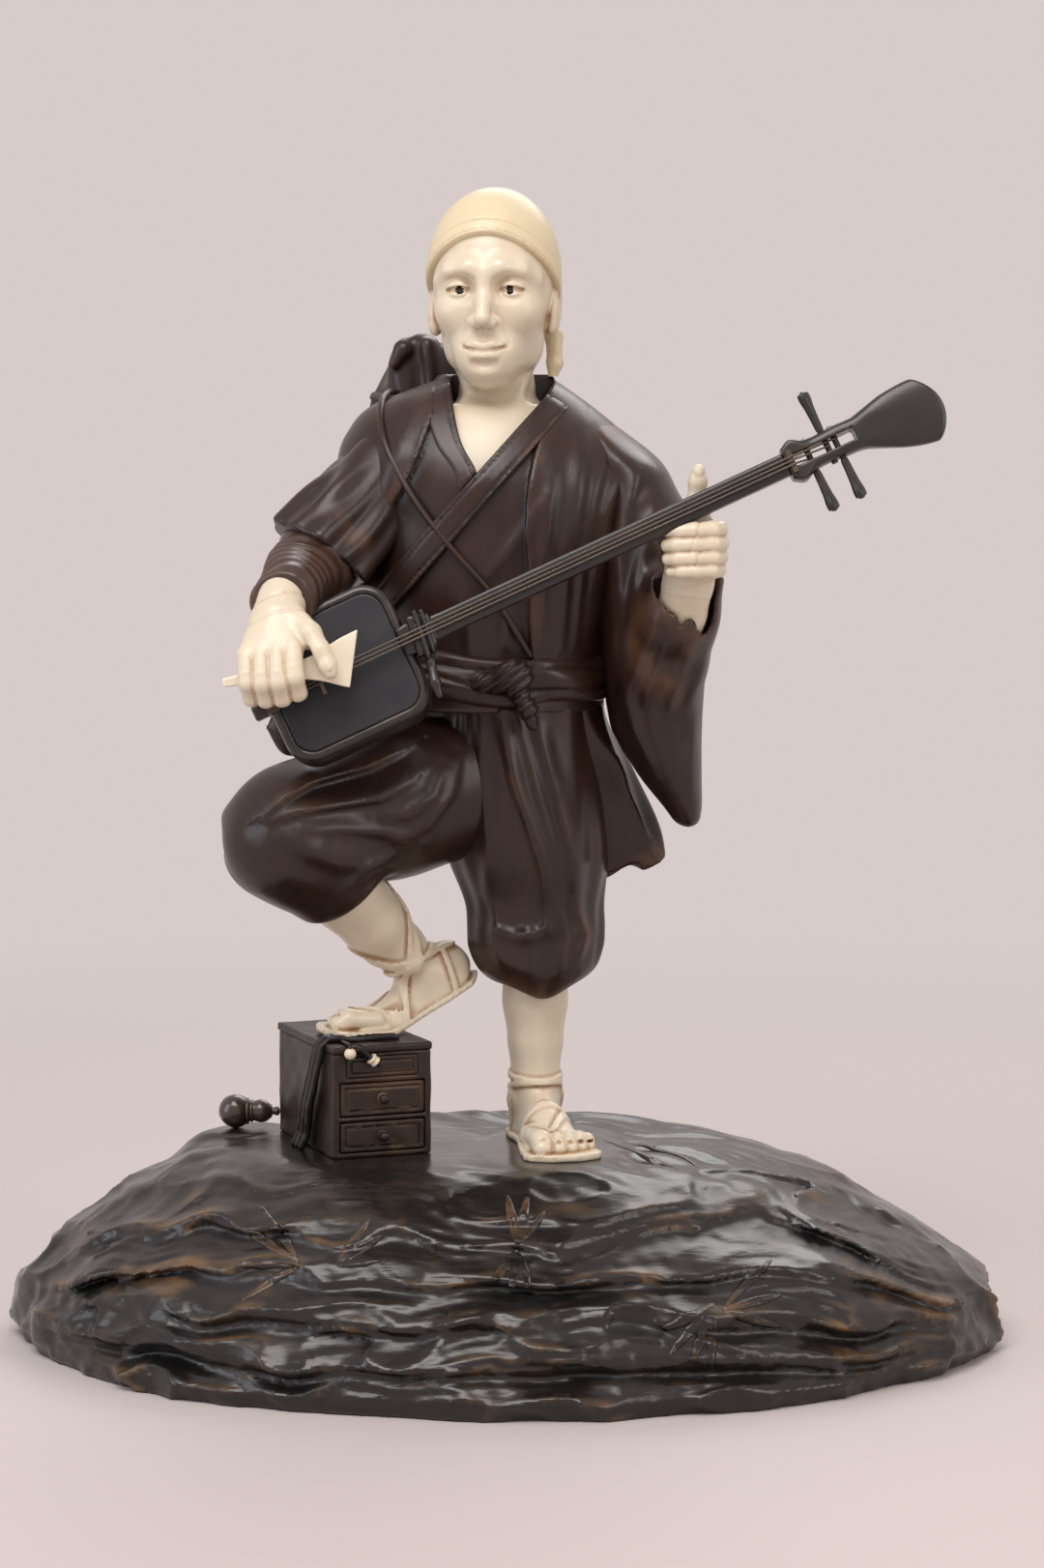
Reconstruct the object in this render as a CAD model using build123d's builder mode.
from build123d import *
import os
from math import cos, pi, radians, sin, sqrt, tan

os.makedirs("parts", exist_ok=True)

# Driving dimensions in millimetres and degrees. The figure faces -Y and stands on the rock, so the
# heights of the figure are counted from the top of the rock. Left and right are the figure's own.

# Rock base
base_width = 308.0
base_depth = 230.0
base_height = 61.0
base_foot_height = 5.0
base_undercut = 1.5
plateau_width = 168.0
plateau_depth = 124.0
plateau_shift = -10.0
rock_slope_power = 2.0
rock_ledges = 5
ledge_depth = 4.5
ledge_notch = 0.76
ledge_sway = 0.32
ledge_waves = 1.6
rock_stations = [-0.998, -0.92, -0.77, -0.58, -0.42, -0.24, -0.06, 0.12, 0.3, 0.46, 0.64, 0.8, 0.93, 0.998]

# Dowels that pin the carved pieces together
dowel_radius = 2.0
dowel_reach = 9.0
foot_pin_reach = 5.0
wrist_pin_reach = 5.0
glue_gap = 0.05
waist_dowel_x = 2.0
waist_dowel_y = 0.0
chest_dowel_pitch = 16.0
chest_dowel_inset = 3.8
lute_pin_along = 16.0
lute_pin_up = -4.0
lute_pin_seat = 7.0
lute_pin_length = 26.0

# Chest of drawers under the raised foot
chest_x = -48.0
chest_y = -4.9
chest_turn = 21.5
chest_width = 31.5
chest_depth = 54.0
chest_height = 34.5
chest_wall = 2.0
chest_floor = 1.6
chest_divider = 1.5
chest_top_board = 2.4
lower_drawer_height = 9.0
middle_drawer_height = 9.8
drawer_length = 45.0
drawer_wall = 1.4
drawer_floor = 1.2
drawer_gap = 0.3
panel_depth = 1.2
panel_margin = 2.2
pull_radius = 1.3
pull_reach = 2.0
pull_stem_radius = 0.7
pull_stem_depth = 1.0

# Strap, cord, bead and pipe on the chest
strap_width = 7.0
strap_thickness = 1.2
strap_back = 16.5
strap_start = 7.0
pouch_cord_radius = 0.6
pouch_cord_drop = 5.2
bead_radius = 1.8
bead_x = -11.0
bead_drop = 2.6
pipe_radius = 0.9
pipe_length = 8.0
pipe_bowl_radius = 1.5
pipe_bowl_length = 2.4
pipe_angle = 40.0
pipe_x = -8.0
pipe_drop = 0.6
pipe_ring_radius = 1.7
pipe_ring_length = 2.2

# Gourd flask on the rock
gourd_x = -92.0
gourd_y = 19.0
gourd_bulb_radius = 5.3
gourd_waist_radius = 2.7
gourd_crown_radius = 3.7
gourd_length = 17.0
gourd_lip = 0.6
stopper_radius = 1.2
stopper_length = 3.0

# Left leg and the breeches over it
left_leg_x = 8.5
left_leg_y = 1.5
left_hem_height = 50.0
left_hem_radius = 13.5
left_knee_radius = 21.0
left_shin_radius = 10.4
left_ankle_radius = 6.8
left_foot_turn = 13.0
foot_width = 20.0
sole_thickness = 2.2
hip_radius = 26.0

# Right leg, raised, and the breeches over it
hip_spot = (-8.0, 2.0, 113.0)
knee_spot = (-66.0, -31.0, 98.0)
thigh_radius = 20.5
knee_radius = 20.5
right_hem_spot = (-50.0, -22.0, 81.0)
right_hem_radius = 13.5
right_shin_radius = 10.6
right_ankle_x = -33.5
right_ankle_y = -7.5
right_ankle_rise = 26.0
right_ankle_radius = 7.6
right_ball_x = -40.0
right_ball_y = -8.0
right_foot_turn = 20.0

# Coat
waist_height = 135.0
collar_height = 236.0
waist_width = 68.0
waist_depth = 54.0
bust_width = 95.0
bust_depth = 66.0
collar_width = 36.0
collar_depth = 33.0
collar_thickness = 1.6
collar_band = 8.0
collar_rise = 4.0
v_tip_x = -9.6
v_tip_height = 207.0
v_left_x = -17.0
v_right_x = 10.0
v_depth = 6.0
band_end_x = -38.0
band_end_height = 166.0
sash_height = 14.0
sash_rise = 4.0
sash_thickness = 2.2
knot_x = 1.4
knot_width = 13.0
knot_radius = 5.2
coat_tail_drop = 58.0
coat_tail_width = 70.0
coat_tail_depth = 62.0
coat_tail_edge = 4.0
coat_tail_lean = 0.3
coat_flap_height = 20.0
coat_flap_thickness = 9.0
left_sleeve_radius = 18.5
left_sleeve_tip = 101.0
right_sleeve_radius = 16.5
right_sleeve_hem = (-57.5, -17.5, 182.0)
right_shoulder_spot = (-24.0, 5.0, 219.0)
cuff_radius = 11.5
wrist_radius = 6.6

# Head
head_height = 61.0
head_width = 39.0
head_depth = 47.0
head_turn = -8.0
chin_height = 232.5
head_x = -4.4
head_y = -3.0
neck_radius = 10.9
cloth_thickness = 1.3
cloth_brow = 47.5
cloth_slope = 0.45

# Bundle on the back and the cord that carries it, whose route runs from the bundle to the sash
bundle_width = 40.0
bundle_depth = 29.0
bundle_height = 50.0
bundle_x = -24.0
bundle_y = 43.0
bundle_floor = 201.0
cord_radius = 1.0
cord_route = [
    (-30.0, 31.5, 225.5),
    (-33.5, 20.5, 232.0),
    (-36.5, 8.0, 233.2),
    (-39.5, -5.0, 229.0),
    (-38.0, -17.6, 217.5),
    (-31.5, -23.5, 205.0),
    (-25.0, -26.7, 195.0),
    (-16.5, -29.7, 184.5),
    (-7.2, -31.1, 174.5),
    (0.5, -29.8, 164.0),
    (6.8, -26.5, 152.5),
]

# Three-stringed lute, drawn in its own frame: along the neck, up across it, and out of its face
drum_x = -49.6
drum_y = -46.0
drum_height = 147.5
lute_rise = 24.7
lute_swing = 3.8
lute_tilt = 11.0
drum_length = 46.0
drum_width = 43.0
drum_thickness = 21.0
drum_corner = 9.0
drum_round = 1.5
drum_border = 2.8
skin_thickness = 0.8
rod_width = 4.5
rod_overhang = 5.0
heel_length = 10.0
lute_neck_width = 7.0
lute_neck_thickness = 7.0
lute_neck_round = 3.0
fingerboard_rise = 1.0
nut_along = 147.5
nut_height = 1.2
nut_thickness = 1.6
swell_radius = 6.4
pegbox_start = 146.0
pegbox_end = 170.0
pegbox_width = 10.0
pegbox_thickness = 9.0
slot_width = 3.6
lute_end = 196.0
lute_head_width = 20.6
lute_head_thickness = 6.0
lute_head_step = 1.8
lute_head_bulge = 4.0
lute_head_droop = 2.5
first_peg_along = 153.5
second_peg_along = 159.6
third_peg_along = 162.4
peg_radius = 0.95
peg_fit = 0.05
peg_grip_length = 12.5
peg_grip_radius = 1.45
peg_shoulder_gap = 0.15
string_radius = 0.3
string_pitch = 1.2
string_bend = 1.0
string_peg_gap = 0.15
bridge_along = -6.0
bridge_height = 3.4
bridge_width = 9.0
bridge_thickness = 1.8
tail_cord_along = -20.0
tail_cord_thickness = 0.8
tail_cord_width = 6.0

# Plectrum and hands
plectrum_length = 34.5
plectrum_grip = 4.6
plectrum_blade = 16.0
plectrum_skew = 2.5
plectrum_thickness = 2.0
plectrum_run = (33.7, -2.0, 5.7)
strike_offset = (5.0, -11.7, 3.9)
wrist_offset = (-21.6, 14.0, 16.7)
finger_radius = 2.6
right_finger_pitch = 4.5
left_finger_pitch = 3.9
fist_radius = 5.4
grip_along = 112.0
hand_span = 30.0


def spot(x, y, height):
    """A point of the figure, with its height counted from the top of the rock."""
    return Vector(x, y, base_height + height)


# Frames and points that several pieces share
chest_side = (cos(radians(chest_turn)), sin(radians(chest_turn)), 0)
chest_frame = Plane((chest_x, chest_y, base_height), x_dir=chest_side, z_dir=(0, 0, 1))
chest_back_way = chest_frame.y_dir
lute_axis = Vector(
    cos(radians(lute_rise)) * cos(radians(lute_swing)),
    cos(radians(lute_rise)) * sin(radians(lute_swing)),
    sin(radians(lute_rise)),
)
lute_tilted = Vector(0, -cos(radians(lute_tilt)), sin(radians(lute_tilt)))
lute_facing = (lute_tilted - lute_axis * lute_tilted.dot(lute_axis)).normalized()
lute_frame = Plane(spot(drum_x, drum_y, drum_height), x_dir=lute_axis, z_dir=lute_facing)
lute_line = Axis((0, 0, 0), lute_axis)
facing_line = Axis((0, 0, 0), lute_facing)
drum_front = drum_thickness / 2
lute_neck_top = drum_front + fingerboard_rise
lute_neck_middle = lute_neck_top - lute_neck_thickness / 2


def in_chest(x, y, z):
    """A point given along, across and above the floor of the chest."""
    return chest_frame.from_local_coords(Vector(x, y, z))


def in_lute(along, up, out):
    """A point given along the lute's neck, up across it and out of its face."""
    return lute_frame.from_local_coords(Vector(along, up, out))


def chest_at(x, y, z):
    """A place in the chest, turned with it."""
    return chest_frame.location * Location((x, y, z))


def lute_at(along, up, out):
    """A place in the lute, turned with it."""
    return lute_frame.location * Location((along, up, out))


def rounds(stations, side, axis=None):
    """Ellipses to skin a carved form through, square to the line of their centres or to one axis."""
    centres = [station[0] for station in stations]
    faces = []
    for index, (centre, half_side, half_front) in enumerate(stations):
        ahead = centres[min(index + 1, len(centres) - 1)]
        behind = centres[max(index - 1, 0)]
        along = Vector(*axis) if axis else (ahead - behind).normalized()
        across = Vector(*side) - along * Vector(*side).dot(along)
        with BuildSketch(Plane(centre, x_dir=across, z_dir=along)) as section:
            Ellipse(half_side, half_front)
        faces.append(section.sketch)
    return faces


def between(start, end, share):
    """The value at a share of the way from start to end."""
    return start + (end - start) * share


def dowel(plane, reach_down, reach_up, gap=0.0):
    """A dowel across a joint plane, or with a gap the hole that takes it."""
    with BuildPart(plane) as pin:
        with Locations((0, 0, -reach_down - gap)):
            Cylinder(
                dowel_radius + gap,
                reach_down + reach_up + 2 * gap,
                align=(Align.CENTER, Align.CENTER, Align.MIN),
            )
    return pin.part


def finish(builder, name):
    """Label a finished piece and write its file."""
    builder.part.label = name
    export_step(builder.part, f"parts/{name}.step")


# Places on the figure that the pieces share
lute_strike = in_lute(0, 0, drum_front) + Vector(*strike_offset)
lute_grip = in_lute(grip_along, 0, lute_neck_middle)
left_hem = spot(left_leg_x, left_leg_y, left_hem_height)
hip = spot(*hip_spot)
knee = spot(*knee_spot)
thigh = knee - hip
right_hem = spot(*right_hem_spot)
right_ankle = spot(right_ankle_x, right_ankle_y, chest_height + right_ankle_rise)
shin_axis = (right_ankle - right_hem).normalized()
right_ball = spot(right_ball_x, right_ball_y, chest_height)
wrist = lute_strike + Vector(*wrist_offset)
upright = (0, 0, 1)

# Joint planes of the dowels
left_foot_plane = Plane(spot(left_leg_x, left_leg_y, 0))
left_hem_plane = Plane(left_hem)
right_hem_plane = Plane(right_hem, z_dir=shin_axis)
right_ball_plane = Plane(right_ball)
waist_plane = Plane(spot(waist_dowel_x, waist_dowel_y, waist_height))
lute_pin_plane = Plane(in_lute(lute_pin_along, lute_pin_up, -drum_thickness / 2), z_dir=-lute_facing)
chest_dowel_places = [
    in_chest(side * chest_dowel_pitch / 2, chest_depth / 2 - chest_dowel_inset, 0) for side in (-1, 1)
]


# Rock base: a broad dome cut in ledges that run from end to end, with a flat floor for the foot and the
# chest. Its sections stand at stations across its width.
def rock_crest(x):
    """The height of the rock's top at a station."""
    way = 1 if x > plateau_shift else -1
    tip = way * base_width / 2
    floor_edge = plateau_shift + way * plateau_width / 2
    share = min(1.0, (tip - x) / (tip - floor_edge))
    return between(base_foot_height, base_height, share ** (1 / rock_slope_power))


def rock_reach(x, height):
    """How far the rock reaches to the front and the back at a station and a height."""
    rise = max(0.0, (height - base_foot_height) / (base_height - base_foot_height))
    draw_in = rise ** rock_slope_power
    off = 2 * (x - plateau_shift * draw_in) / between(base_width, plateau_width, draw_in)
    return between(base_depth, plateau_depth, draw_in) / 2 * sqrt(max(0.0, 1 - off ** 2))


def ledge_lift(ledge, share, way):
    """How many ledges up the lip of a ledge is at a station: all but the first and the last wander."""
    if ledge in (0, rock_ledges):
        return ledge
    return ledge + ledge_sway * sin((ledge_waves + 0.3 * ledge) * pi * share + 1.9 * ledge ** 2 + way)


def rock_side(share, way):
    """The front (-1) or back (1) outline of a section, from the ground up: lips with notches over them."""
    x = share * base_width / 2
    crest = rock_crest(x)
    on_floor = crest >= base_height
    top = base_height if on_floor else between(base_foot_height, crest, 0.95)
    depth = ledge_depth * (top - base_foot_height) / (base_height - base_foot_height)
    points = [(way * (rock_reach(x, 0) - base_undercut), 0)]
    for ledge in range(rock_ledges):
        lip = ledge_lift(ledge, share, way)
        next_lip = ledge_lift(ledge + 1, share, way)
        for lift, cut in ((lip, 0), (between(lip, next_lip, ledge_notch), depth)):
            height = between(base_foot_height, top, lift / rock_ledges)
            points.append((way * (rock_reach(x, height) - cut), height))
    points.append((way * rock_reach(x, top), top))
    return points


rock_sections = []
for share in rock_stations:
    section_plane = Plane((share * base_width / 2, 0, 0), x_dir=(0, 1, 0), z_dir=(1, 0, 0))
    with BuildSketch(section_plane) as section:
        with BuildLine():
            Polyline(*rock_side(share, -1), *reversed(rock_side(share, 1)), close=True)
        make_face()
    rock_sections.append(section.sketch)

with BuildPart() as rock_base:
    loft(rock_sections, ruled=True)
    add(dowel(left_foot_plane, dowel_reach, dowel_reach, glue_gap), mode=Mode.SUBTRACT)
    for place in chest_dowel_places:
        add(dowel(Plane(place), dowel_reach, dowel_reach, glue_gap), mode=Mode.SUBTRACT)
finish(rock_base, "rock_base")

with BuildPart() as left_foot_dowel:
    add(dowel(left_foot_plane, dowel_reach, dowel_reach))
finish(left_foot_dowel, "left_foot_dowel")

with BuildPart() as chest_dowels:
    for place in chest_dowel_places:
        add(dowel(Plane(place), dowel_reach, dowel_reach))
finish(chest_dowels, "chest_dowels")

# Chest: a carcass with two open bays, a lid board, a fixed front panel above the two drawers
bay_width = chest_width - 2 * chest_wall
bay_depth = drawer_length + drawer_gap
lower_bay_height = lower_drawer_height + 2 * drawer_gap
middle_bay_height = middle_drawer_height + 2 * drawer_gap
lower_bay_floor = chest_floor
middle_bay_floor = lower_bay_floor + lower_bay_height + chest_divider
upper_floor = middle_bay_floor + middle_bay_height + chest_divider
carcass_height = chest_height - chest_top_board
panel_width = bay_width - 2 * panel_margin
panel_height = carcass_height - upper_floor - panel_margin / 2

with BuildPart() as chest_carcass:
    with Locations(chest_at(0, 0, 0)):
        Box(chest_width, chest_depth, carcass_height, align=(Align.CENTER, Align.CENTER, Align.MIN))
    for floor, height in ((lower_bay_floor, lower_bay_height), (middle_bay_floor, middle_bay_height)):
        with Locations(chest_at(0, -chest_depth / 2, floor)):
            Box(
                bay_width,
                bay_depth,
                height,
                align=(Align.CENTER, Align.MIN, Align.MIN),
                mode=Mode.SUBTRACT,
            )
    with Locations(chest_at(0, -chest_depth / 2, upper_floor)):
        Box(
            panel_width,
            panel_depth,
            panel_height,
            align=(Align.CENTER, Align.MIN, Align.MIN),
            mode=Mode.SUBTRACT,
        )
    for place in chest_dowel_places:
        add(dowel(Plane(place), dowel_reach, dowel_reach, glue_gap), mode=Mode.SUBTRACT)
    add(dowel(right_ball_plane, foot_pin_reach, foot_pin_reach, glue_gap), mode=Mode.SUBTRACT)
finish(chest_carcass, "chest_carcass")

with BuildPart() as chest_top:
    with Locations(chest_at(0, 0, carcass_height)):
        Box(
            chest_width,
            chest_depth,
            chest_top_board,
            align=(Align.CENTER, Align.CENTER, Align.MIN),
        )
    add(dowel(right_ball_plane, foot_pin_reach, foot_pin_reach, glue_gap), mode=Mode.SUBTRACT)
finish(chest_top, "chest_top")

with BuildPart() as chest_front_panel:
    with Locations(chest_at(0, -chest_depth / 2, upper_floor)):
        Box(panel_width, panel_depth, panel_height, align=(Align.CENTER, Align.MIN, Align.MIN))
finish(chest_front_panel, "chest_front_panel")

with BuildPart() as right_foot_dowel:
    add(dowel(right_ball_plane, foot_pin_reach, foot_pin_reach))
finish(right_foot_dowel, "right_foot_dowel")


def pull_plane(floor, height):
    """The plane of a drawer's front at the middle of its pull, facing out of the chest."""
    middle = floor + drawer_gap + height / 2
    return Plane(in_chest(0, -chest_depth / 2, middle), z_dir=-chest_back_way)


for name, floor, height in (
    ("lower_drawer", lower_bay_floor, lower_drawer_height),
    ("middle_drawer", middle_bay_floor, middle_drawer_height),
):
    drawer_width = bay_width - 2 * drawer_gap
    with BuildPart() as drawer:
        with Locations(chest_at(0, -chest_depth / 2, floor + drawer_gap)):
            Box(drawer_width, drawer_length, height, align=(Align.CENTER, Align.MIN, Align.MIN))
        with Locations(chest_at(0, drawer_wall - chest_depth / 2, floor + drawer_gap + drawer_floor)):
            Box(
                drawer_width - 2 * drawer_wall,
                drawer_length - 2 * drawer_wall,
                height,
                align=(Align.CENTER, Align.MIN, Align.MIN),
                mode=Mode.SUBTRACT,
            )
        with Locations(pull_plane(floor, height).location):
            Cylinder(
                pull_stem_radius + glue_gap,
                2 * pull_stem_depth + 2 * glue_gap,
                mode=Mode.SUBTRACT,
            )
    finish(drawer, name)

    with BuildPart(pull_plane(floor, height)) as drawer_pull:
        with Locations((0, 0, -pull_stem_depth)):
            Cylinder(
                pull_stem_radius,
                pull_stem_depth + pull_reach,
                align=(Align.CENTER, Align.CENTER, Align.MIN),
            )
        with Locations((0, 0, pull_reach)):
            Sphere(pull_radius)
    finish(drawer_pull, f"{name}_pull")

# Strap: a carved band over the lid and down the chest's left side to the rock
strap_plane = Plane(
    in_chest(0, strap_width / 2 - strap_back, 0), x_dir=chest_frame.x_dir, z_dir=-chest_back_way
)
strap_edge = -chest_width / 2 - strap_thickness
with BuildPart() as strap:
    with BuildSketch(strap_plane):
        with BuildLine():
            FilletPolyline(
                (strap_start, chest_height),
                (strap_start, chest_height + strap_thickness),
                (strap_edge, chest_height + strap_thickness),
                (strap_edge, 0),
                radius=strap_thickness / 3,
            )
            Polyline(
                (strap_edge, 0),
                (-chest_width / 2, 0),
                (-chest_width / 2, chest_height),
                (strap_start, chest_height),
            )
        make_face()
    extrude(amount=strap_width)
finish(strap, "strap")

# Cord from the strap over the front edge, with the bead that is threaded on it
cord_start = strap_width / 2 + strap_back
cord_hang = chest_depth / 2 + bead_radius + glue_gap
cord_top = chest_height + pouch_cord_radius
pouch_points = [
    in_chest(bead_x, -cord_start, cord_top),
    in_chest(bead_x, -cord_hang, cord_top),
    in_chest(bead_x, -cord_hang, cord_top - pouch_cord_drop),
]
with BuildPart() as pouch_cord:
    with BuildLine() as pouch_path:
        FilletPolyline(*pouch_points, radius=2 * pouch_cord_radius)
    with BuildSketch(Plane(pouch_points[0], z_dir=-chest_back_way)):
        Circle(pouch_cord_radius)
    sweep(path=pouch_path.wires()[0])
finish(pouch_cord, "pouch_cord")

with BuildPart(Plane(in_chest(bead_x, -cord_hang, cord_top - bead_drop))) as cord_bead:
    Sphere(bead_radius)
    Cylinder(pouch_cord_radius + glue_gap, 2 * bead_radius, mode=Mode.SUBTRACT)
finish(cord_bead, "cord_bead")

# Tobacco pipe leaning on the chest's front, with its metal ring
pipe_slope = Vector(*chest_side) * cos(radians(pipe_angle)) - Vector(0, 0, sin(radians(pipe_angle)))
pipe_plane = Plane(
    in_chest(pipe_x, -chest_depth / 2 - pipe_ring_radius - glue_gap, chest_height - pipe_drop),
    z_dir=pipe_slope,
)
with BuildPart(pipe_plane) as pipe:
    Cylinder(pipe_radius, pipe_length, align=(Align.CENTER, Align.CENTER, Align.MIN))
    Cylinder(pipe_bowl_radius, pipe_bowl_length, align=(Align.CENTER, Align.CENTER, Align.MIN))
finish(pipe, "pipe")

with BuildPart(pipe_plane) as pipe_ring:
    with Locations((0, 0, pipe_length - pipe_ring_length - pipe_radius)):
        Cylinder(pipe_ring_radius, pipe_ring_length, align=(Align.CENTER, Align.CENTER, Align.MIN))
        Cylinder(
            pipe_radius + glue_gap,
            pipe_ring_length,
            align=(Align.CENTER, Align.CENTER, Align.MIN),
            mode=Mode.SUBTRACT,
        )
finish(pipe_ring, "pipe_ring")

# Gourd flask lying on the rock, with its stopper
gourd_plane = Plane(spot(gourd_x, gourd_y, gourd_bulb_radius), x_dir=(1, 0, 0), z_dir=(0, -1, 0))
gourd_waist_at = 2 * gourd_bulb_radius
with BuildPart() as gourd:
    with BuildSketch(gourd_plane):
        with BuildLine():
            RadiusArc((0, 0), (gourd_bulb_radius, gourd_bulb_radius), gourd_bulb_radius)
            Spline(
                (gourd_bulb_radius, gourd_bulb_radius),
                (gourd_waist_at, gourd_waist_radius),
                (gourd_length - gourd_crown_radius, gourd_crown_radius),
                (gourd_length, stopper_radius + gourd_lip),
                tangents=((1, 0), (0.3, -1)),
            )
            Polyline((gourd_length, stopper_radius + gourd_lip), (gourd_length, 0), (0, 0))
        make_face()
    revolve(axis=Axis(gourd_plane.origin, gourd_plane.x_dir))
    with Locations(Plane(gourd_plane.origin + Vector(gourd_length, 0, 0), z_dir=(1, 0, 0)).location):
        Cylinder(stopper_radius + glue_gap, stopper_length, mode=Mode.SUBTRACT)
finish(gourd, "gourd")

with BuildPart(
    Plane(gourd_plane.origin + Vector(gourd_length, 0, 0), z_dir=(1, 0, 0))
) as gourd_stopper:
    Cylinder(stopper_radius, stopper_length - 2 * glue_gap)
finish(gourd_stopper, "gourd_stopper")

# Left leg: the standing leg with its sandalled foot, pinned to the rock
left_foot_way = Vector(sin(radians(left_foot_turn)), -cos(radians(left_foot_turn)), 0)
left_foot_side = (cos(radians(left_foot_turn)), sin(radians(left_foot_turn)), 0)
left_foot_profile = [
    (-13.0, 6.0, 0.23, 5.6),
    (-8.0, 7.0, 0.36, 7.2),
    (4.0, 8.0, 0.41, 8.6),
    (16.0, 6.5, 0.46, 6.6),
    (27.0, 5.0, 0.5, 4.8),
    (36.0, 4.2, 0.45, 3.6),
    (40.0, 3.8, 0.275, 2.0),
]
left_shin_profile = [
    (1.0, 0.0, left_shin_radius, left_shin_radius),
    (0.78, 0.0, left_shin_radius, left_shin_radius),
    (0.58, -1.0, between(left_shin_radius, left_ankle_radius, 0.55), 0.85 * left_shin_radius),
    (0.4, -1.6, left_ankle_radius, 1.09 * left_ankle_radius),
    (0.24, -1.8, 1.06 * left_ankle_radius, 1.26 * left_ankle_radius),
    (0.0, -1.8, 1.09 * left_ankle_radius, 1.47 * left_ankle_radius),
]
sole_heel = -6.0
sole_ball = 30.0
with BuildPart() as left_leg:
    loft(
        rounds(
            [
                (spot(left_leg_x + shift, left_leg_y, share * left_hem_height), half_width, half_depth)
                for share, shift, half_width, half_depth in left_shin_profile
            ],
            side=(1, 0, 0),
            axis=upright,
        )
    )
    loft(
        rounds(
            [
                (
                    spot(left_leg_x, left_leg_y, height) + left_foot_way * along,
                    width * foot_width,
                    half_height,
                )
                for along, height, width, half_height in left_foot_profile
            ],
            side=left_foot_side,
            axis=tuple(left_foot_way),
        )
    )
    with BuildSketch(Plane(spot(left_leg_x, left_leg_y, 0), x_dir=tuple(left_foot_way))):
        with Locations((sole_heel, 0)):
            Circle(0.4 * foot_width)
        with Locations((sole_ball, 0)):
            Circle(0.53 * foot_width)
        make_hull()
    extrude(amount=sole_thickness)
    split(bisect_by=Plane.XY.offset(base_height), keep=Keep.TOP)
    add(dowel(left_foot_plane, dowel_reach, dowel_reach, glue_gap), mode=Mode.SUBTRACT)
    add(dowel(left_hem_plane, dowel_reach, dowel_reach, glue_gap), mode=Mode.SUBTRACT)
finish(left_leg, "left_leg")

with BuildPart() as left_knee_dowel:
    add(dowel(left_hem_plane, dowel_reach, dowel_reach))
finish(left_knee_dowel, "left_knee_dowel")

# Lute: drum block with a skin plate on each face and a bore for the neck's rod
rod_middle = lute_neck_top - lute_neck_thickness - rod_width / 4
with BuildPart() as drum_block:
    with BuildSketch(lute_frame.offset(-drum_thickness / 2)):
        RectangleRounded(drum_length, drum_width, drum_corner)
    extrude(amount=drum_thickness)
    rims = drum_block.faces().sort_by(facing_line)
    fillet(rims[0].edges() + rims[-1].edges(), drum_round)
with BuildPart() as drum_body:
    add(drum_block.part)
    for level in (-drum_thickness / 2, drum_thickness / 2 - skin_thickness):
        with BuildSketch(lute_frame.offset(level)):
            RectangleRounded(
                drum_length - 2 * drum_border, drum_width - 2 * drum_border, drum_corner - drum_border
            )
        extrude(amount=skin_thickness, mode=Mode.SUBTRACT)
    with Locations(lute_at(0, 0, rod_middle)):
        Box(
            drum_length + rod_width,
            rod_width + 2 * glue_gap,
            rod_width + 2 * glue_gap,
            mode=Mode.SUBTRACT,
        )
    add(dowel(lute_pin_plane, lute_pin_seat, lute_pin_length, glue_gap), mode=Mode.SUBTRACT)
finish(drum_body, "drum_body")

for name, level in (
    ("drum_back_skin", -drum_thickness / 2),
    ("drum_front_skin", drum_thickness / 2 - skin_thickness),
):
    with BuildPart() as skin:
        with BuildSketch(lute_frame.offset(level)):
            RectangleRounded(
                drum_length - 2 * drum_border, drum_width - 2 * drum_border, drum_corner - drum_border
            )
        extrude(amount=skin_thickness)
        add(dowel(lute_pin_plane, lute_pin_seat, lute_pin_length, glue_gap), mode=Mode.SUBTRACT)
    finish(skin, name)

# Neck with a rounded back, a deep heel at the drum and a square rod that runs through the drum
neck_start = drum_length / 2
with BuildPart() as lute_neck:
    with Locations(lute_at(neck_start, 0, lute_neck_middle)):
        Box(
            pegbox_start - neck_start,
            lute_neck_width,
            lute_neck_thickness,
            align=(Align.MIN, Align.CENTER, Align.CENTER),
        )
    fillet(
        lute_neck.edges().filter_by(lute_line).sort_by(facing_line)[:2],
        lute_neck_round,
    )
    with Locations(lute_at(neck_start, 0, rod_middle)):
        Box(
            heel_length,
            rod_width,
            rod_width,
            align=(Align.MIN, Align.CENTER, Align.CENTER),
        )
        Box(
            drum_length + rod_overhang,
            rod_width,
            rod_width,
            align=(Align.MAX, Align.CENTER, Align.CENTER),
        )
finish(lute_neck, "lute_neck")

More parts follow.
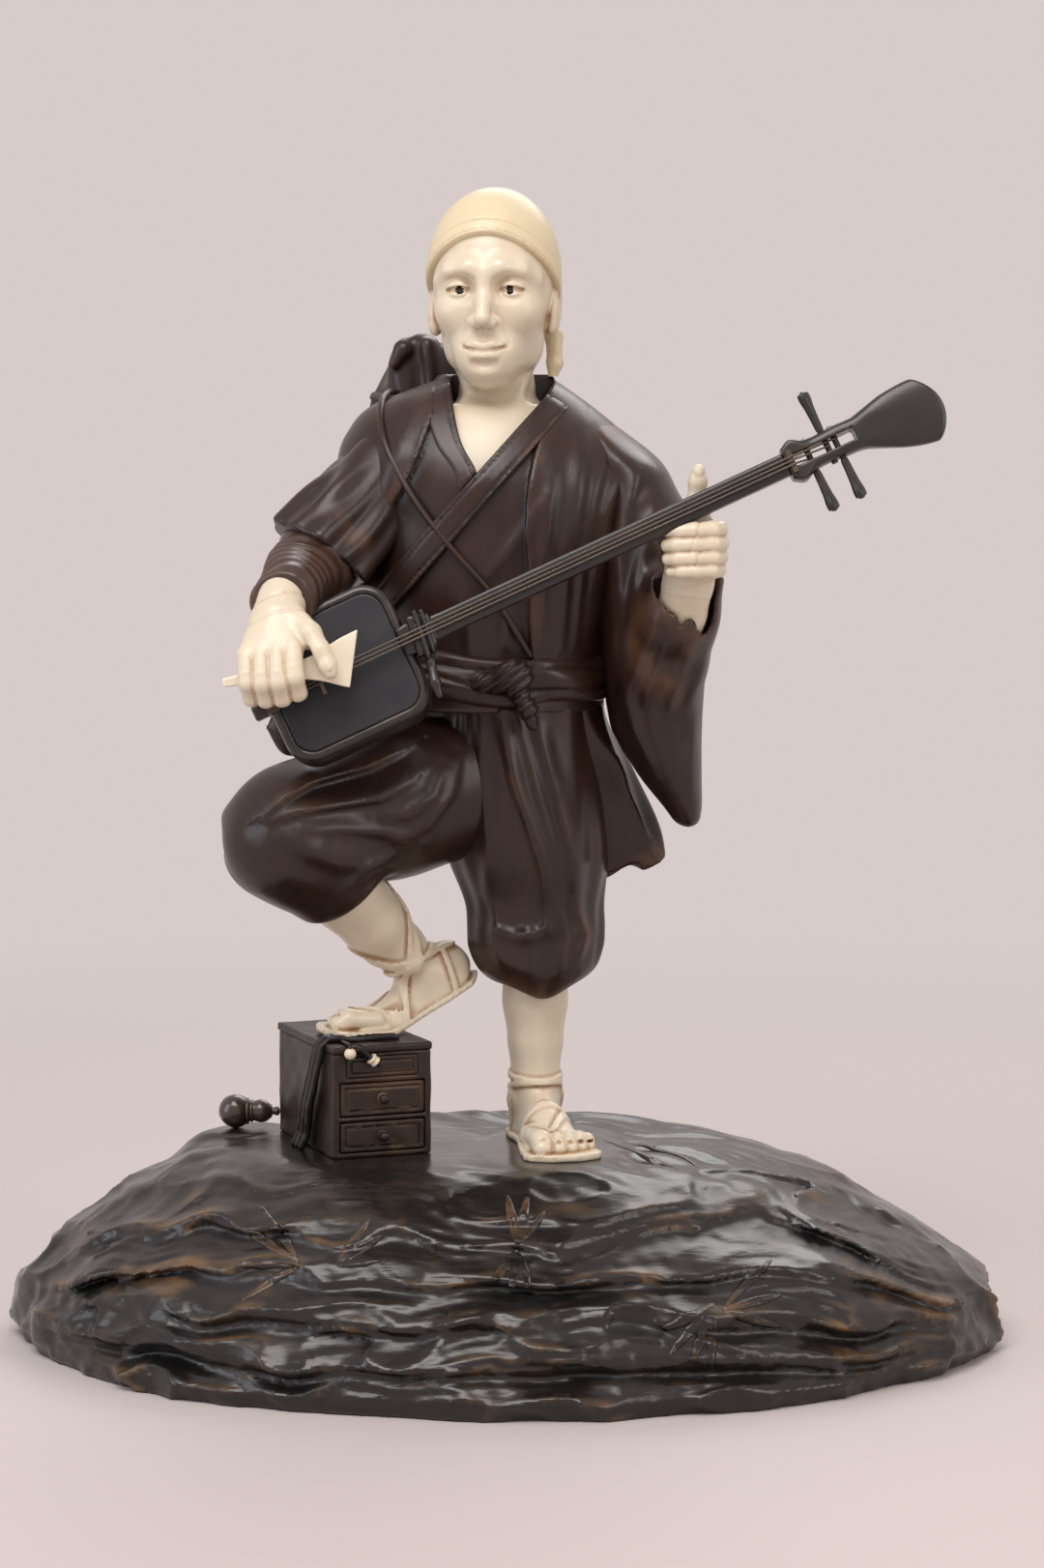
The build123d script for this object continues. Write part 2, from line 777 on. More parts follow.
# Peg box: a swelling under the nut, two cheeks with a string slot, and a flaring head
cheek_middle = lute_neck_top - pegbox_thickness / 2
peg_places = [first_peg_along, second_peg_along, third_peg_along]
head_edges = [
    [
        (pegbox_end - lute_head_thickness, way * pegbox_width / 2),
        (pegbox_end, way * pegbox_width / 2),
        (pegbox_end + lute_head_step, way * (pegbox_width / 2 + lute_head_step)),
        (lute_end - lute_head_bulge, way * lute_head_width / 2 - lute_head_droop),
    ]
    for way in (1, -1)
]
slot_start = nut_along + nut_thickness / 2
with BuildPart() as lute_head:
    with Locations(lute_at(pegbox_start + swell_radius / 2, 0, lute_neck_middle)):
        Sphere(swell_radius)
    with Locations(lute_at(pegbox_start, 0, cheek_middle)):
        Box(
            pegbox_end - pegbox_start,
            pegbox_width,
            pegbox_thickness,
            align=(Align.MIN, Align.CENTER, Align.CENTER),
        )
    with BuildSketch(lute_frame.offset(cheek_middle - lute_head_thickness / 2)):
        with BuildLine():
            Polyline(*head_edges[0])
            ThreePointArc(head_edges[0][-1], (lute_end, -lute_head_droop), head_edges[1][-1])
            Polyline(*head_edges[1])
            Line(head_edges[0][0], head_edges[1][0])
        make_face()
    extrude(amount=lute_head_thickness)
    split(bisect_by=Plane(in_lute(pegbox_start, 0, 0), z_dir=lute_axis), keep=Keep.TOP)
    split(bisect_by=Plane(in_lute(0, 0, lute_neck_top), z_dir=lute_facing), keep=Keep.BOTTOM)
    with Locations(lute_at(slot_start, 0, cheek_middle)):
        Box(
            pegbox_end - slot_start - slot_width / 2,
            slot_width,
            2 * pegbox_thickness,
            align=(Align.MIN, Align.CENTER, Align.CENTER),
            mode=Mode.SUBTRACT,
        )
    for along in peg_places:
        with Locations(Plane(in_lute(along, 0, cheek_middle), z_dir=lute_frame.y_dir).location):
            Cylinder(peg_radius + peg_fit, 2 * pegbox_width, mode=Mode.SUBTRACT)
finish(lute_head, "lute_head")

with BuildPart() as lute_nut:
    with Locations(lute_at(nut_along, 0, lute_neck_top)):
        Box(
            nut_thickness,
            lute_neck_width,
            nut_height,
            align=(Align.CENTER, Align.CENTER, Align.MIN),
        )
finish(lute_nut, "lute_nut")

# Tuning pegs: a round shank through both cheeks and an eight-sided grip outside one of them
for name, along, way in (
    ("first_peg", peg_places[0], -1),
    ("second_peg", peg_places[1], 1),
    ("third_peg", peg_places[2], -1),
):
    peg_plane = Plane(
        in_lute(along, way * (pegbox_width / 2 + peg_shoulder_gap), cheek_middle),
        z_dir=lute_frame.y_dir * way,
    )
    with BuildPart(peg_plane) as peg:
        Cylinder(
            peg_radius,
            pegbox_width + peg_shoulder_gap,
            align=(Align.CENTER, Align.CENTER, Align.MAX),
        )
        with BuildSketch(peg_plane):
            RegularPolygon(peg_radius + 2 * peg_fit, 8)
        with BuildSketch(peg_plane.offset(peg_grip_length)):
            RegularPolygon(peg_grip_radius, 8)
        loft()
    finish(peg, name)

# Bridge, tail cord and the three strings
with BuildPart() as lute_bridge:
    with Locations(lute_at(bridge_along, 0, drum_front)):
        Box(
            bridge_thickness,
            bridge_width,
            bridge_height,
            align=(Align.CENTER, Align.CENTER, Align.MIN),
        )
finish(lute_bridge, "lute_bridge")

tail_cord_end = -drum_length / 2 - tail_cord_thickness
tail_cord_plane = Plane(in_lute(0, tail_cord_width / 2, 0), x_dir=lute_axis, z_dir=-lute_frame.y_dir)
with BuildPart() as tail_cord:
    with BuildSketch(tail_cord_plane):
        with BuildLine():
            Polyline(
                (tail_cord_along, drum_front),
                (tail_cord_along, drum_front + tail_cord_thickness),
                (tail_cord_end, drum_front + tail_cord_thickness),
                (tail_cord_end, rod_middle + rod_width / 2),
                (-drum_length / 2, rod_middle + rod_width / 2),
                (-drum_length / 2, drum_front),
                (tail_cord_along, drum_front),
            )
        make_face()
    extrude(amount=tail_cord_width)
    add(drum_body.part, mode=Mode.SUBTRACT)
finish(tail_cord, "tail_cord")

string_tail = tail_cord_along - tail_cord_thickness
with BuildPart() as strings:
    for index, along in enumerate(peg_places):
        across = (index - 1) * string_pitch
        string_points = [
            in_lute(string_tail, across, drum_front + tail_cord_thickness + string_radius),
            in_lute(bridge_along, across, drum_front + bridge_height + string_radius),
            in_lute(slot_start, across, lute_neck_top + nut_height + string_radius),
            in_lute(along, across, cheek_middle + peg_radius + string_radius + string_peg_gap),
        ]
        with BuildLine() as string_path:
            FilletPolyline(*string_points, radius=string_bend)
        with BuildSketch(Plane(string_points[0], z_dir=string_path.line % 0)):
            Circle(string_radius)
        sweep(path=string_path.wires()[0])
    add(tail_cord.part, mode=Mode.SUBTRACT)
    add(lute_bridge.part, mode=Mode.SUBTRACT)
    add(lute_nut.part, mode=Mode.SUBTRACT)
finish(strings, "strings")

# Breeches: the straight left leg, and the raised right leg that rests on the lute's drum side
with BuildPart() as left_trouser_form:
    loft(
        rounds(
            [
                (spot(2, 0, waist_height), hip_radius - 2, hip_radius - 1),
                (spot(3, 1, 0.7 * waist_height + 0.3 * left_hem_height), hip_radius, hip_radius + 1),
                (spot(6, 1, 0.46 * waist_height + 0.54 * left_hem_height), hip_radius - 1, hip_radius - 1),
                (left_hem + Vector(0, 0, 21), left_knee_radius, left_knee_radius),
                (left_hem + Vector(0, 0, 10), 0.95 * left_knee_radius, 0.95 * left_knee_radius),
                (left_hem + Vector(0, 0, 3), 0.82 * left_knee_radius, 0.83 * left_knee_radius),
                (left_hem, left_hem_radius, left_hem_radius),
            ],
            side=(1, 0, 0),
            axis=upright,
        )
    )

with BuildPart() as left_trouser:
    add(left_trouser_form.part)
    add(dowel(left_hem_plane, dowel_reach, dowel_reach, glue_gap), mode=Mode.SUBTRACT)
    add(dowel(waist_plane, dowel_reach, dowel_reach, glue_gap), mode=Mode.SUBTRACT)
finish(left_trouser, "left_trouser")

# Coat body: one skin from the waist to the collar
robe_profile = [
    (0.0, -6, 1, waist_width / 2, waist_depth / 2),
    (0.16, -6, 1, waist_width / 2, waist_depth / 2),
    (0.36, -5, 2, between(waist_width, bust_width, 0.42) / 2, between(waist_depth, bust_depth, 0.67) / 2),
    (0.55, -3, 4, between(waist_width, bust_width, 0.83) / 2, bust_depth / 2),
    (0.71, -4, 5, bust_width / 2, bust_depth / 2 - 1),
    (0.84, -7.5, 6, bust_width / 2 - 6, bust_depth / 2 - 6),
    (0.93, -9, 7, between(bust_width, collar_width, 0.52) / 2, between(bust_depth, collar_depth, 0.7) / 2),
    (1.0, -4, 7.5, collar_width / 2, collar_depth / 2),
]


def robe_rounds(grow):
    """The ellipses of the coat body, grown all round."""
    stations = [
        (spot(x, y, between(waist_height, collar_height, share)), half_width + grow, half_depth + grow)
        for share, x, y, half_width, half_depth in robe_profile
    ]
    return rounds(stations, side=(1, 0, 0), axis=upright)


# Head and neck in one piece, with a breast plate under the open collar
head_side = (cos(radians(head_turn)), sin(radians(head_turn)), 0)
head_frame = Plane(spot(head_x, head_y, chin_height), x_dir=head_side, z_dir=upright)
head_profile = [
    (0.0, -10.5, 0.14, 0.12),
    (0.075, -9.0, 0.29, 0.26),
    (0.2, -5.0, 0.4, 0.385),
    (0.37, -2.0, 0.475, 0.47),
    (0.57, 0.0, 0.5, 0.5),
    (0.76, 1.0, 0.47, 0.475),
    (0.92, 1.5, 0.34, 0.335),
    (1.0, 1.5, 0.12, 0.12),
]


def head_rounds(grow):
    """The ellipses of the head, grown all round."""
    stations = [
        (
            head_frame.from_local_coords(Vector(0, shift, share * (head_height + grow))),
            width * head_width + grow,
            depth * head_depth + grow,
        )
        for share, shift, width, depth in head_profile
    ]
    return rounds(stations, side=head_side, axis=upright)


with BuildPart() as head:
    loft(head_rounds(0))
    loft(
        rounds(
            [
                (spot(-7, -7, collar_height - 32), 13, 18),
                (spot(-5, -4.5, collar_height - 18), 12, 15),
                (spot(-3.5, -1.5, collar_height - 7), neck_radius, neck_radius + 0.6),
                (spot(-3.5, -0.5, collar_height + 10), neck_radius - 0.4, neck_radius),
            ],
            side=(1, 0, 0),
            axis=upright,
        )
    )
finish(head, "head")

with BuildPart() as head_cloth:
    loft(head_rounds(cloth_thickness))
    split(
        bisect_by=Plane(
            head_frame.from_local_coords(Vector(0, -head_depth / 2, cloth_brow)),
            z_dir=Vector(0, 0, 1) + head_frame.y_dir * cloth_slope,
        ),
        keep=Keep.TOP,
    )
    add(head.part, mode=Mode.SUBTRACT)
finish(head_cloth, "head_cloth")


def front_prism(points, far, near):
    """A prism seen in outline from the front, from one depth to another."""
    with BuildPart() as prism:
        with BuildSketch(Plane.XZ.offset(near)):
            Polygon(*points, align=None)
        extrude(amount=far - near)
    return prism.part


# The open collar, seen from the front, and the bands beside it, as points of x and height
collar_top = base_height + collar_height + collar_rise
v_tip = (v_tip_x, base_height + v_tip_height)
v_left = (v_left_x, collar_top)
v_right = (v_right_x, collar_top)
band_end = (band_end_x, base_height + band_end_height)
robe_reach = bust_depth

with BuildPart() as robe_form:
    loft(robe_rounds(0))

with BuildPart() as robe_body:
    add(robe_form.part)
    add(front_prism([v_left, v_right, v_tip], robe_reach, v_depth), mode=Mode.SUBTRACT)
    add(head.part, mode=Mode.SUBTRACT)
    add(dowel(waist_plane, dowel_reach, dowel_reach, glue_gap), mode=Mode.SUBTRACT)
    add(dowel(lute_pin_plane, lute_pin_seat, lute_pin_length, glue_gap), mode=Mode.SUBTRACT)
finish(robe_body, "robe_body")

with BuildPart() as waist_dowel:
    add(dowel(waist_plane, dowel_reach, dowel_reach))
finish(waist_dowel, "waist_dowel")

with BuildPart() as lute_pin:
    add(dowel(lute_pin_plane, lute_pin_seat, lute_pin_length))
finish(lute_pin, "lute_pin")

# Collar bands: the left one crosses over the right one and runs down to the sash
band_way = Vector(band_end[0] - v_right_x, band_end[1] - collar_top, 0).normalized()
band_across = Vector(-band_way.Y, band_way.X, 0) * collar_band
with BuildPart() as left_collar:
    loft(robe_rounds(collar_thickness))
    add(
        front_prism(
            [
                v_right,
                v_tip,
                band_end,
                (band_end[0] + band_across.X, band_end[1] + band_across.Y),
                (v_tip[0] + band_across.X, v_tip[1] + band_across.Y),
                (v_right_x + band_across.X, collar_top + band_across.Y),
            ],
            robe_reach,
            v_depth,
        ),
        mode=Mode.INTERSECT,
    )
    add(robe_form.part, mode=Mode.SUBTRACT)
    add(head.part, mode=Mode.SUBTRACT)
finish(left_collar, "left_collar")

with BuildPart() as right_collar:
    loft(robe_rounds(collar_thickness))
    add(
        front_prism(
            [
                v_left,
                v_tip,
                (v_tip[0] + band_way.X * collar_band, v_tip[1] + band_way.Y * collar_band),
                (v_left_x - collar_band, collar_top),
            ],
            robe_reach,
            v_depth,
        ),
        mode=Mode.INTERSECT,
    )
    add(robe_form.part, mode=Mode.SUBTRACT)
    add(head.part, mode=Mode.SUBTRACT)
    add(left_collar.part, mode=Mode.SUBTRACT)
finish(right_collar, "right_collar")

# Sash round the waist with its knot
sash_floor = base_height + waist_height + sash_rise
with BuildPart() as sash:
    with BuildSketch(Plane.XY.offset(sash_floor)):
        with Locations((robe_profile[0][1], robe_profile[0][2])):
            Ellipse(waist_width / 2 + sash_thickness, waist_depth / 2 + sash_thickness)
    extrude(amount=sash_height)
    add(robe_form.part, mode=Mode.SUBTRACT)
    add(left_collar.part, mode=Mode.SUBTRACT)
    add(dowel(lute_pin_plane, lute_pin_seat, lute_pin_length, glue_gap), mode=Mode.SUBTRACT)
finish(sash, "sash")

knot_centre = Vector(knot_x, robe_profile[0][2] - waist_depth / 2, sash_floor + sash_height / 2)
with BuildPart() as sash_knot:
    loft(
        rounds(
            [
                (knot_centre + Vector(-knot_width / 2, 0, 0), 0.3 * knot_radius, 0.3 * knot_radius),
                (knot_centre + Vector(-knot_width / 4, -1, 0), 0.9 * knot_radius, 0.8 * knot_radius),
                (knot_centre + Vector(0, -1.4, 0), knot_radius, 0.9 * knot_radius),
                (knot_centre + Vector(knot_width / 4, -1, 0), 0.9 * knot_radius, 0.8 * knot_radius),
                (knot_centre + Vector(knot_width / 2, 0, 0), 0.3 * knot_radius, 0.3 * knot_radius),
            ],
            side=upright,
            axis=(1, 0, 0),
        )
    )
    add(sash.part, mode=Mode.SUBTRACT)
    add(robe_form.part, mode=Mode.SUBTRACT)
finish(sash_knot, "sash_knot")

# Right leg of the breeches: the raised thigh and the blouse over the knee
with BuildPart() as right_trouser_form:
    loft(
        rounds(
            [
                (hip, hip_radius - 2, hip_radius - 2),
                (hip + thigh * 0.36, thigh_radius, thigh_radius + 1.5),
                (hip + thigh * 0.72, thigh_radius, thigh_radius),
                (knee, knee_radius, knee_radius - 1.5),
                (knee + thigh * 0.18, 0.68 * knee_radius, 0.62 * knee_radius),
                (knee + thigh * 0.27, 0.25 * knee_radius, 0.22 * knee_radius),
            ],
            side=upright,
        )
    )
    loft(
        rounds(
            [
                (knee, knee_radius - 1.5, knee_radius - 2.5),
                (between(knee, right_hem, 0.55), 0.85 * knee_radius, 0.83 * knee_radius),
                (between(knee, right_hem, 0.88), 0.73 * knee_radius, 0.73 * knee_radius),
                (right_hem, right_hem_radius, right_hem_radius),
            ],
            side=(0, -1, 0),
            axis=tuple(shin_axis),
        )
    )
    add(left_trouser_form.part, mode=Mode.SUBTRACT)
    add(robe_form.part, mode=Mode.SUBTRACT)
    add(sash.part, mode=Mode.SUBTRACT)
    add(drum_block.part, mode=Mode.SUBTRACT)

with BuildPart() as right_trouser:
    add(right_trouser_form.part)
    add(dowel(right_hem_plane, dowel_reach, dowel_reach, glue_gap), mode=Mode.SUBTRACT)
finish(right_trouser, "right_trouser")

# Right leg: the raised leg, with the ball of its foot on the chest and its heel lifted
right_foot_way = Vector(-cos(radians(right_foot_turn)), -sin(radians(right_foot_turn)), 0)
right_foot_side = (-sin(radians(right_foot_turn)), cos(radians(right_foot_turn)), 0)
right_foot_profile = [
    (-24.0, 16.5, 0.17, 3.8),
    (-19.5, 14.0, 0.31, 7.2),
    (-11.0, 10.0, 0.39, 8.2),
    (-1.0, 5.8, 0.46, 6.0),
    (8.0, 4.2, 0.46, 4.4),
    (15.0, 3.5, 0.39, 3.4),
    (19.0, 3.0, 0.21, 1.9),
]
with BuildPart() as right_leg:
    loft(
        rounds(
            [
                (right_hem, right_shin_radius, right_shin_radius),
                (right_hem + shin_axis * 7, right_shin_radius, right_shin_radius),
                (right_hem + shin_axis * 18, 0.85 * right_shin_radius, 0.89 * right_shin_radius),
                (right_ankle, right_ankle_radius, 1.05 * right_ankle_radius),
                (right_ankle + shin_axis * 9, 0.95 * right_ankle_radius, right_ankle_radius),
                (right_ankle + shin_axis * 15, 0.66 * right_ankle_radius, 0.71 * right_ankle_radius),
            ],
            side=(0, -1, 0),
            axis=tuple(shin_axis),
        )
    )
    loft(
        rounds(
            [
                (
                    right_ball + right_foot_way * along + Vector(0, 0, rise),
                    width * foot_width,
                    half_height,
                )
                for along, rise, width, half_height in right_foot_profile
            ],
            side=right_foot_side,
        )
    )
    split(bisect_by=Plane.XY.offset(base_height + chest_height), keep=Keep.TOP)
    add(right_trouser_form.part, mode=Mode.SUBTRACT)
    add(dowel(right_ball_plane, foot_pin_reach, foot_pin_reach, glue_gap), mode=Mode.SUBTRACT)
    add(dowel(right_hem_plane, dowel_reach, dowel_reach, glue_gap), mode=Mode.SUBTRACT)
finish(right_leg, "right_leg")

with BuildPart() as right_knee_dowel:
    add(dowel(right_hem_plane, dowel_reach, dowel_reach))
finish(right_knee_dowel, "right_knee_dowel")

# Coat tail: the skirt of the coat behind the breeches, open at the front
coat_tail_profile = [
    (0.0, -4.0, 3.0, waist_width / 2, waist_depth / 2),
    (0.36, 2.0, 6.0, coat_tail_width / 2 + 1, coat_tail_depth / 2 - 1),
    (0.71, 14.0, 9.0, coat_tail_width / 2 - 3, coat_tail_depth / 2),
    (1.0, 19.0, 11.0, coat_tail_width / 2 - 6, coat_tail_depth / 2),
]
with BuildPart() as coat_tail:
    loft(
        rounds(
            [
                (spot(x, y, waist_height - share * coat_tail_drop), half_width, half_depth)
                for share, x, y, half_width, half_depth in coat_tail_profile
            ],
            side=(1, 0, 0),
            axis=upright,
        )
    )
    split(
        bisect_by=Plane(
            spot(0, coat_tail_edge, waist_height - coat_tail_drop), z_dir=(0, 1, coat_tail_lean)
        ),
        keep=Keep.TOP,
    )
    add(left_trouser_form.part, mode=Mode.SUBTRACT)
    add(right_trouser_form.part, mode=Mode.SUBTRACT)
finish(coat_tail, "coat_tail")

# Coat flap: the right skirt of the coat, pushed out sideways by the raised thigh
coat_flap_profile = [
    (-26.0, 8.0, 128.0, 0.5, 0.5),
    (-48.0, 6.0, 129.0, 0.5, 0.5),
    (-64.0, 3.0, 129.0, 0.48, 0.4),
    (-74.5, 1.0, 128.0, 0.36, 0.2),
]
with BuildPart() as coat_flap:
    loft(
        rounds(
            [
                (spot(x, y, height), up * coat_flap_height, deep * coat_flap_thickness)
                for x, y, height, up, deep in coat_flap_profile
            ],
            side=upright,
            axis=(-1, 0, 0),
        )
    )
    for neighbour in (robe_form, sash, left_trouser_form, right_trouser_form, coat_tail):
        add(neighbour.part, mode=Mode.SUBTRACT)
finish(coat_flap, "coat_flap")

# Left hand: a fist below the lute's neck with the thumb behind it, and its forearm
left_arm_profile = [
    (-6.0, 32.0, -52.0, 8.0, 8.0),
    (-2.0, 23.0, -40.0, 7.8, 7.8),
    (1.0, 15.0, -29.0, 7.0, 7.0),
    (2.5, 9.0, -19.0, 7.8, 6.4),
    (3.8, 7.0, -10.0, 8.6, 6.2),
    (4.8, 8.5, 0.0, 7.0, 4.2),
    (5.2, 9.0, 3.0, 3.6, 2.2),
]
left_finger_profile = [
    (10.5, 6.5, 0.0, 1.0),
    (11.0, 1.0, 0.0, 1.0),
    (7.6, -3.5, -0.3, 1.0),
    (2.4, -4.5, -0.6, 1.0),
    (-3.0, -2.5, -0.9, 0.85),
    (-4.8, -1.2, -1.0, 0.4),
]
left_thumb_profile = [
    (3.5, 8.5, -6.0, 1.2),
    (4.5, 7.8, 4.0, 1.08),
    (4.9, 6.8, 10.0, 0.92),
    (5.0, 6.2, 13.5, 0.46),
]
first_finger_drop = 4.5
with BuildPart() as left_hand:
    loft(
        rounds(
            [
                (lute_grip + Vector(x, y, z), half_width, half_depth)
                for x, y, z, half_width, half_depth in left_arm_profile
            ],
            side=(1, 0, 0),
        )
    )
    for index in range(4):
        knuckle = lute_grip - Vector(0, 0, first_finger_drop + index * left_finger_pitch)
        loft(
            rounds(
                [
                    (knuckle + Vector(x, y, z), share * finger_radius, share * finger_radius)
                    for x, y, z, share in left_finger_profile
                ],
                side=upright,
            )
        )
    loft(
        rounds(
            [
                (lute_grip + Vector(x, y, z), share * finger_radius, share * finger_radius)
                for x, y, z, share in left_thumb_profile
            ],
            side=(1, 0, 0),
        )
    )
    with Locations(Plane(lute_grip, x_dir=lute_axis, z_dir=lute_facing).location):
        with Locations((0, 0, -lute_neck_thickness / 2 - glue_gap)):
            Box(
                2 * hand_span,
                lute_neck_width + 2 * glue_gap,
                3 * lute_neck_thickness,
                align=(Align.CENTER, Align.CENTER, Align.MIN),
                mode=Mode.SUBTRACT,
            )
finish(left_hand, "left_hand")

# Sleeves: the left one hangs from the arm in a point, the right one ends above the cuff
left_sleeve_profile = [
    (30.0, 5.0, 223.0, 6.0, 14.0),
    (33.0, 4.0, 215.0, 12.0, 20.0),
    (38.0, 2.0, 201.0, 15.0, 22.0),
    (43.0, -2.0, 184.0, left_sleeve_radius, left_sleeve_radius + 4),
    (45.0, -4.0, 167.0, left_sleeve_radius, left_sleeve_radius + 3.5),
    (45.0, -5.0, 149.0, 16.0, 20.0),
    (46.0, -6.0, 129.0, 13.5, 17.0),
    (50.0, -7.0, 114.0, 9.0, 13.0),
    (55.0, -8.0, left_sleeve_tip, 3.0, 6.0),
]
with BuildPart() as left_sleeve:
    loft(
        rounds(
            [
                (spot(x, y, height), half_width, half_depth)
                for x, y, height, half_width, half_depth in left_sleeve_profile
            ],
            side=(1, 0, 0),
            axis=upright,
        )
    )
    add(robe_form.part, mode=Mode.SUBTRACT)
    add(left_collar.part, mode=Mode.SUBTRACT)
    add(sash.part, mode=Mode.SUBTRACT)
    add(left_trouser_form.part, mode=Mode.SUBTRACT)
    add(coat_tail.part, mode=Mode.SUBTRACT)
    add(left_hand.part, mode=Mode.SUBTRACT)
finish(left_sleeve, "left_sleeve")

right_hem_place = spot(*right_sleeve_hem)
right_shoulder = spot(*right_shoulder_spot)
arm = right_hem_place - right_shoulder
with BuildPart() as right_sleeve:
    loft(
        rounds(
            [
                (right_shoulder, 0.55 * right_sleeve_radius, 17),
                (right_shoulder + arm * 0.33 + Vector(0, 3, 5), 0.88 * right_sleeve_radius, 20),
                (right_shoulder + arm * 0.66 + Vector(0, 2, 4), right_sleeve_radius, 21),
                (right_shoulder + arm * 0.88 + Vector(0, 1, 1), right_sleeve_radius + 0.5, 20),
                (right_hem_place, right_sleeve_radius, 19),
            ],
            side=upright,
        )
    )
    add(robe_form.part, mode=Mode.SUBTRACT)
    add(right_collar.part, mode=Mode.SUBTRACT)
    add(left_collar.part, mode=Mode.SUBTRACT)
finish(right_sleeve, "right_sleeve")

forearm = wrist - right_hem_place
wrist_axis = forearm.normalized()
wrist_plane = Plane(wrist, z_dir=wrist_axis)
with BuildPart() as right_cuff:
    loft(
        rounds(
            [
                (right_hem_place - wrist_axis * 8, cuff_radius, cuff_radius + 1.5),
                (right_hem_place + forearm * 0.3, cuff_radius, cuff_radius + 1),
                (right_hem_place + forearm * 0.7, cuff_radius - 1, cuff_radius - 0.5),
                (wrist, wrist_radius + 1.6, wrist_radius + 1.6),
            ],
            side=upright,
            axis=tuple(wrist_axis),
        )
    )
    add(right_sleeve.part, mode=Mode.SUBTRACT)
    add(robe_form.part, mode=Mode.SUBTRACT)
    add(drum_block.part, mode=Mode.SUBTRACT)
    add(dowel(wrist_plane, dowel_reach, wrist_pin_reach, glue_gap), mode=Mode.SUBTRACT)
finish(right_cuff, "right_cuff")

with BuildPart() as wrist_dowel:
    add(dowel(wrist_plane, dowel_reach, wrist_pin_reach))
finish(wrist_dowel, "wrist_dowel")

# Plectrum: a flat grip that flares into a wide blade
plectrum_way = Vector(*plectrum_run).normalized()
plectrum_end = lute_strike - plectrum_way * plectrum_length
plectrum_out = Vector(0, -1, 0) - plectrum_way * Vector(0, -1, 0).dot(plectrum_way)
plectrum_plane = Plane(plectrum_end, x_dir=plectrum_way, z_dir=plectrum_out)
with BuildPart() as plectrum:
    with BuildSketch(plectrum_plane.offset(-plectrum_thickness / 2)):
        Polygon(
            (0, -plectrum_grip / 2),
            (plectrum_length / 2, -plectrum_grip / 2),
            (plectrum_length - plectrum_skew, -plectrum_blade / 2),
            (plectrum_length + plectrum_skew, plectrum_blade / 2),
            (plectrum_length / 2, plectrum_grip / 2),
            (0, plectrum_grip / 2),
            align=None,
        )
    extrude(amount=plectrum_thickness)
finish(plectrum, "plectrum")

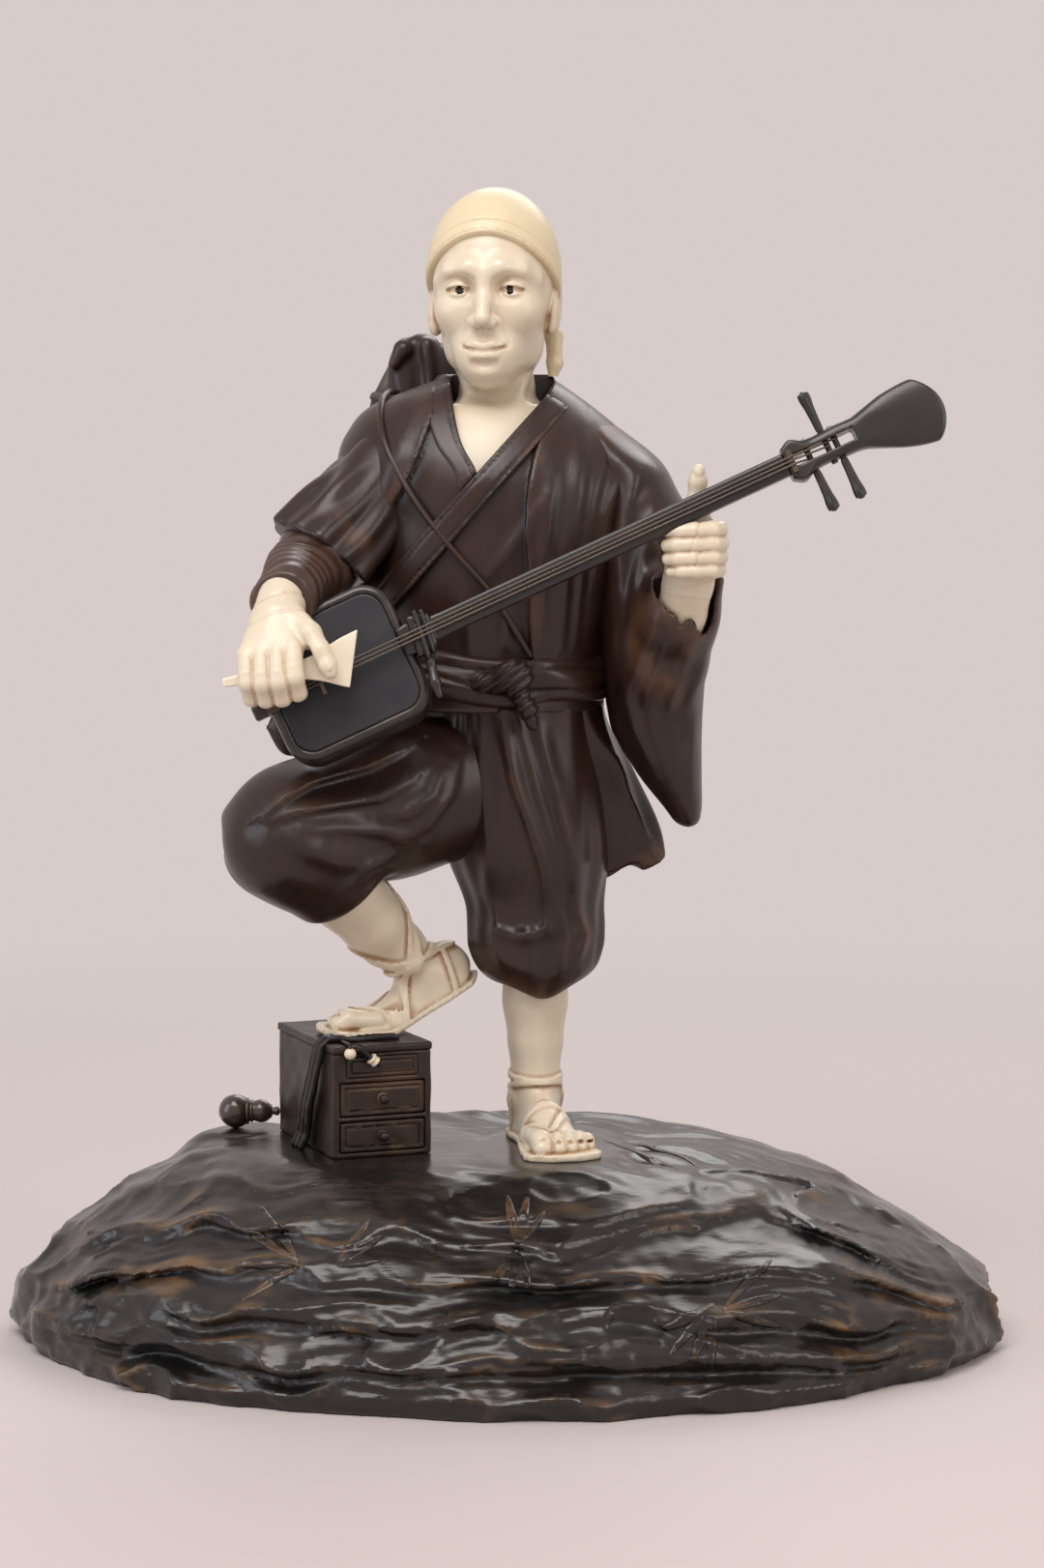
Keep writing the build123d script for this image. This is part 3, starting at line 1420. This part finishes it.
# Right hand: a fist closed round the plectrum's grip
handle = plectrum_end + plectrum_way * plectrum_length * 0.32
right_palm_profile = [
    (6.0, 14.0, 8.2, 6.0),
    (3.5, 8.0, 9.4, 5.6),
    (2.5, 1.0, 9.0, 4.6),
    (2.5, -4.0, 6.0, 2.6),
]
finger_turns = [(60, 1.0), (100, 1.0), (145, 1.0), (190, 1.0), (235, 0.95), (270, 0.85), (290, 0.4)]
right_thumb_profile = [
    (7.5, 4.0, 12.0, 1.23),
    (10.5, -1.5, 7.5, 1.15),
    (12.5, -4.0, 3.0, 1.0),
    (13.4, -4.6, 0.0, 0.46),
]
with BuildPart() as right_hand:
    palm = [
        (handle + Vector(0, y, z), half_width, half_depth)
        for y, z, half_width, half_depth in right_palm_profile
    ]
    loft(
        rounds(
            [
                (wrist, wrist_radius, wrist_radius),
                (wrist + wrist_axis * 4, wrist_radius, wrist_radius),
                *palm,
            ],
            side=(1, 0, 0),
        )
    )
    for index in range(4):
        place = handle + plectrum_way * (index - 1.6) * right_finger_pitch
        stations = []
        for turn, share in finger_turns:
            reach = Vector(0, cos(radians(turn)), sin(radians(turn))) * fist_radius
            stations.append((place + reach, share * finger_radius, share * finger_radius))
        loft(rounds(stations, side=(1, 0, 0)))
    loft(
        rounds(
            [
                (handle + Vector(x, y, z), share * finger_radius, share * finger_radius)
                for x, y, z, share in right_thumb_profile
            ],
            side=(1, 0, 0),
        )
    )
    split(bisect_by=wrist_plane, keep=Keep.TOP)
    add(plectrum.part, mode=Mode.SUBTRACT)
    add(drum_block.part, mode=Mode.SUBTRACT)
    add(dowel(wrist_plane, dowel_reach, wrist_pin_reach, glue_gap), mode=Mode.SUBTRACT)
finish(right_hand, "right_hand")

# Bundle on the back, and the cord that runs over the shoulder to the sash
bundle_profile = [
    (0.0, 0, -1, 0.18, 0.2),
    (0.2, 0, 1, 0.42, 0.42),
    (0.5, 0, 0, 0.5, 0.5),
    (0.74, -1, -3, 0.37, 0.42),
    (0.92, -3, -8, 0.2, 0.27),
    (1.0, -4, -11, 0.1, 0.14),
]
with BuildPart() as bundle:
    loft(
        rounds(
            [
                (
                    spot(bundle_x + x, bundle_y + y, bundle_floor + share * bundle_height),
                    width * bundle_width,
                    depth * bundle_depth,
                )
                for share, x, y, width, depth in bundle_profile
            ],
            side=(1, 0, 0),
            axis=upright,
        )
    )
    add(robe_form.part, mode=Mode.SUBTRACT)
    add(head.part, mode=Mode.SUBTRACT)
    add(right_sleeve.part, mode=Mode.SUBTRACT)
finish(bundle, "bundle")


def largest_bends(points):
    """The radius of each corner's arc, as large as its two runs allow."""
    bends = []
    for before, corner, after in zip(points, points[1:], points[2:]):
        turn = radians((corner - before).get_angle(after - corner))
        run = min((corner - before).length, (after - corner).length)
        bends.append(0.45 * run / tan(turn / 2))
    return bends


cord_points = [spot(*place) for place in cord_route]
with BuildPart() as chest_cord:
    with BuildLine() as cord_path:
        FilletPolyline(*cord_points, radius=largest_bends(cord_points))
    with BuildSketch(Plane(cord_points[0], z_dir=cord_path.line % 0)):
        Circle(cord_radius)
    sweep(path=cord_path.wires()[0])
    add(robe_form.part, mode=Mode.SUBTRACT)
    add(right_sleeve.part, mode=Mode.SUBTRACT)
    add(right_collar.part, mode=Mode.SUBTRACT)
    add(left_collar.part, mode=Mode.SUBTRACT)
    add(bundle.part, mode=Mode.SUBTRACT)
    add(sash.part, mode=Mode.SUBTRACT)
finish(chest_cord, "chest_cord")
